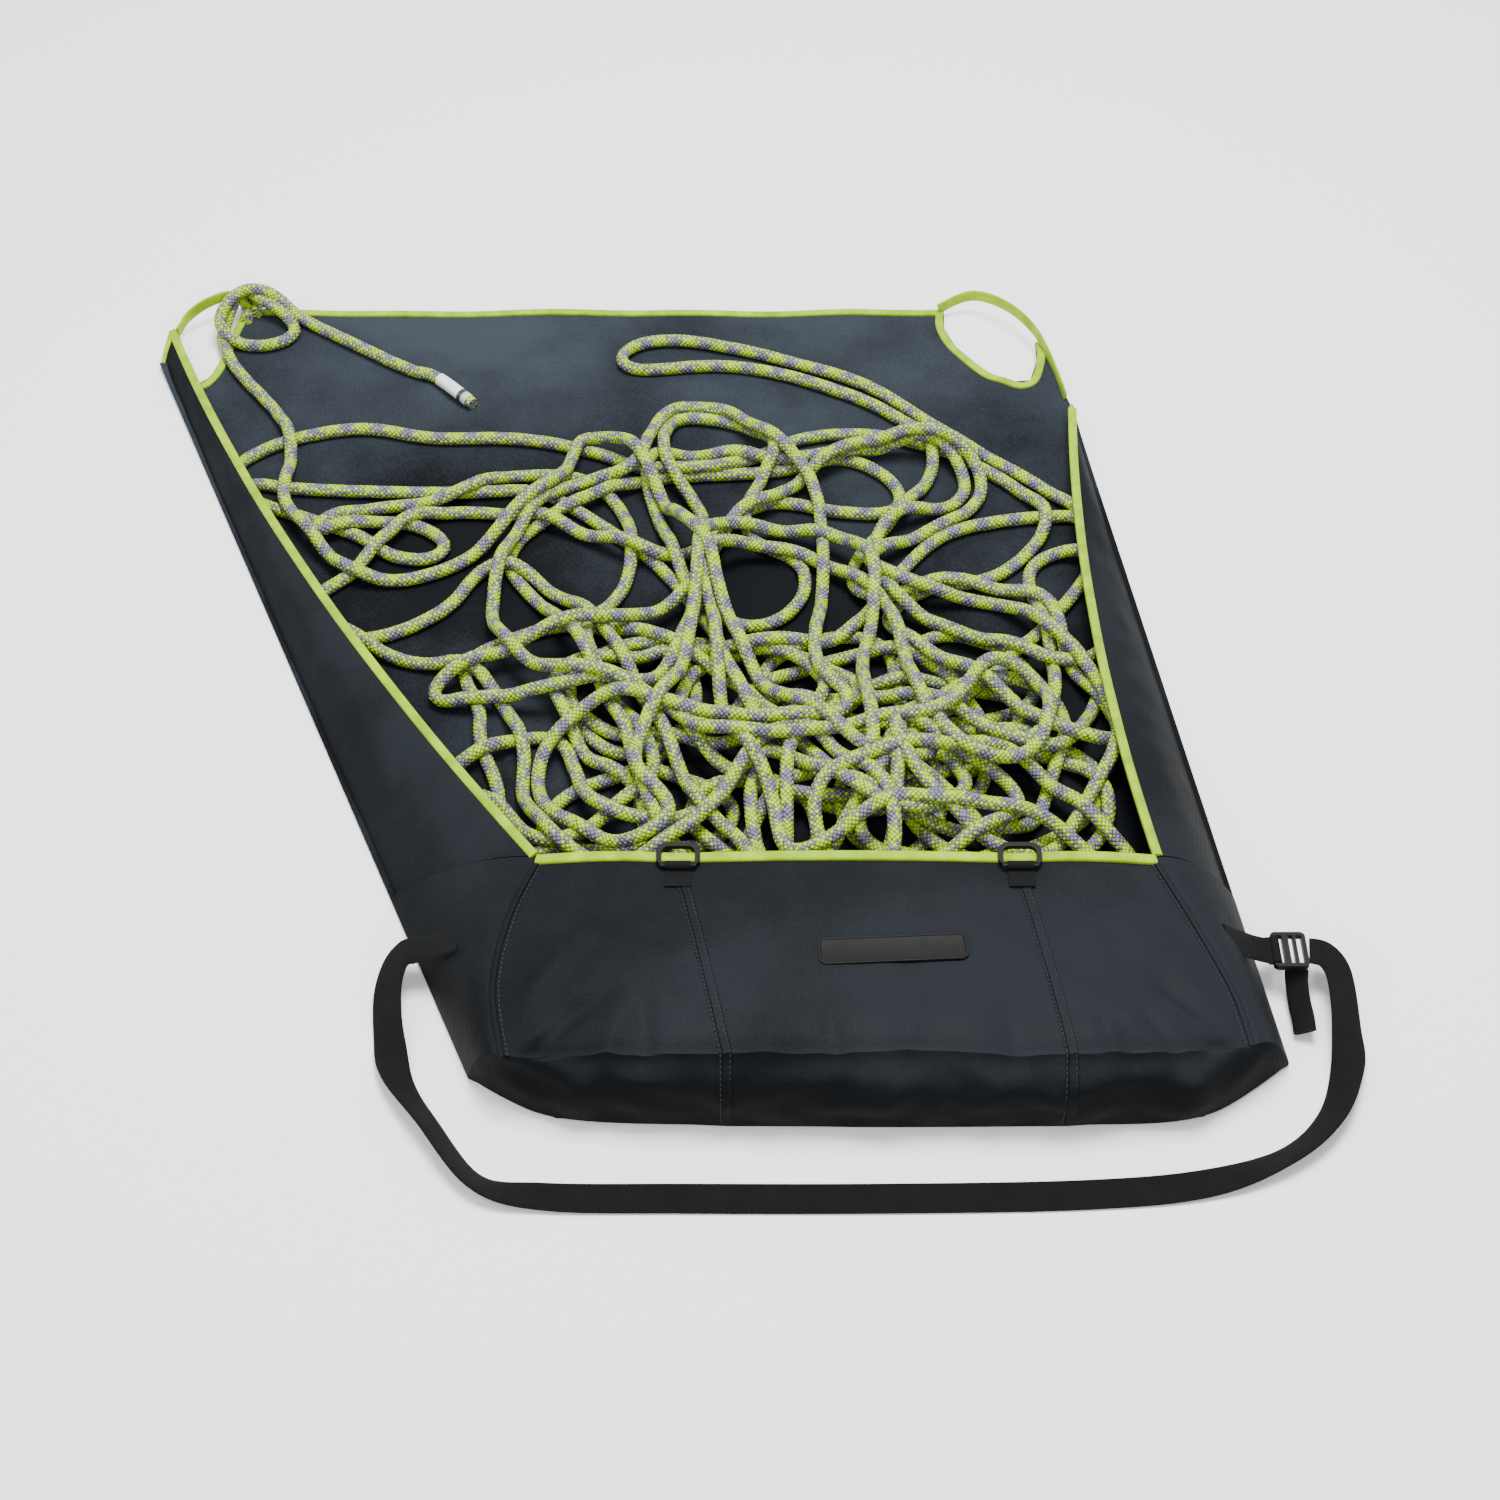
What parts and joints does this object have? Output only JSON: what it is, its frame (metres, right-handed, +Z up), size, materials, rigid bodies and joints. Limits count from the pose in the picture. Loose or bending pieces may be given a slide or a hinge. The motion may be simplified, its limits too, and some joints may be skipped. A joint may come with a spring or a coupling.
{
  "type": "rope storage bag",
  "caption": "Open rope bag: a tapered ground sheet with side panels and a front pouch, edge binding, shoulder strap and a heap of climbing rope tied to a corner loop.",
  "frame": {"origin": "on the ground under the middle of the pouch mouth", "axes": "+Z up, +Y from the pouch mouth to the rear edge of the ground sheet, +X to the right seen from the pouch front"},
  "size_m": [1.0332, 1.0443, 0.0784],
  "materials": {
    "lining": "coated, satin",
    "coated_nylon": "coated, satin",
    "edge_binding": "woven, matte",
    "webbing": "woven, matte",
    "acetal": "gloss",
    "patch_rubber": "matte",
    "rope": "braided, matte",
    "whipping": "satin"
  },
  "bodies": {
    "bag": {"base_sheet": "lining", "rear_binding": "edge_binding", "left_cutout_binding": "edge_binding", "right_cutout_binding": "edge_binding", "left_corner_loop": "edge_binding", "left_gusset": "coated_nylon", "right_gusset": "coated_nylon", "pouch_left_panel": "coated_nylon", "pouch_centre_panel": "coated_nylon", "pouch_right_panel": "coated_nylon", "pouch_front_wall": "coated_nylon", "mouth_binding": "edge_binding", "left_seam_tape": "edge_binding", "right_seam_tape": "edge_binding", "name_patch": "patch_rubber", "left_closure_tab": "webbing", "right_closure_tab": "webbing", "left_strap_anchor": "webbing", "right_strap_tab": "webbing", "strap_bartacks": "webbing", "rope_pile": "rope", "rope_lead": "rope", "rope_tail": "rope", "rope_bight": "rope", "rope_left_run": "rope", "rope_knot": "rope", "rope_end_sleeve": "whipping"},
    "left_flap": {"left_side_panel": "coated_nylon", "left_panel_binding": "edge_binding"},
    "right_flap": {"right_side_panel": "coated_nylon", "right_panel_binding": "edge_binding"},
    "right_loop": {"right_corner_loop": "edge_binding"},
    "left_ring": {"left_closure_ring": "acetal"},
    "right_ring": {"right_closure_ring": "acetal"},
    "strap": {"lock_loop": "webbing", "ladder_lock": "acetal", "shoulder_strap": "webbing"},
    "tail": {"strap_tail": "webbing", "strap_end_fold": "webbing"}
  },
  "joints": [
    {"name": "left_flap_lift", "type": "hinge", "parent": "bag", "child": "left_flap", "pos_m": [-0.359, 0, 0.0033], "axis": [0.3987, -0.9171, 0], "range_deg": [0, 75]},
    {"name": "right_flap_lift", "type": "hinge", "parent": "bag", "child": "right_flap", "pos_m": [0.309, 0, 0.0033], "axis": [-0.1288, 0.9917, 0], "range_deg": [0, 75]},
    {"name": "right_loop_lift", "type": "hinge", "parent": "bag", "child": "right_loop", "pos_m": [0.11137, 0.738, 0.0103], "axis": [0.648, -0.7617, 0], "range_deg": [0, 100]},
    {"name": "left_ring_flip", "type": "hinge", "parent": "bag", "child": "left_ring", "pos_m": [-0.13, -0.015, 0.063], "axis": [1, 0, 0], "range_deg": [0, 165]},
    {"name": "right_ring_flip", "type": "hinge", "parent": "bag", "child": "right_ring", "pos_m": [0.134, -0.015, 0.063], "axis": [1, 0, 0], "range_deg": [0, 165]},
    {"name": "strap_swing", "type": "hinge", "parent": "bag", "child": "strap", "pos_m": [0, -0.07, 0.027], "axis": [-1, 0, 0], "range_deg": [0, 110]},
    {"name": "tail_swing", "type": "hinge", "parent": "strap", "child": "tail", "pos_m": [0.34309, -0.0905, 0.013], "axis": [-1, 0, 0], "range_deg": [0, 30]}
  ]
}
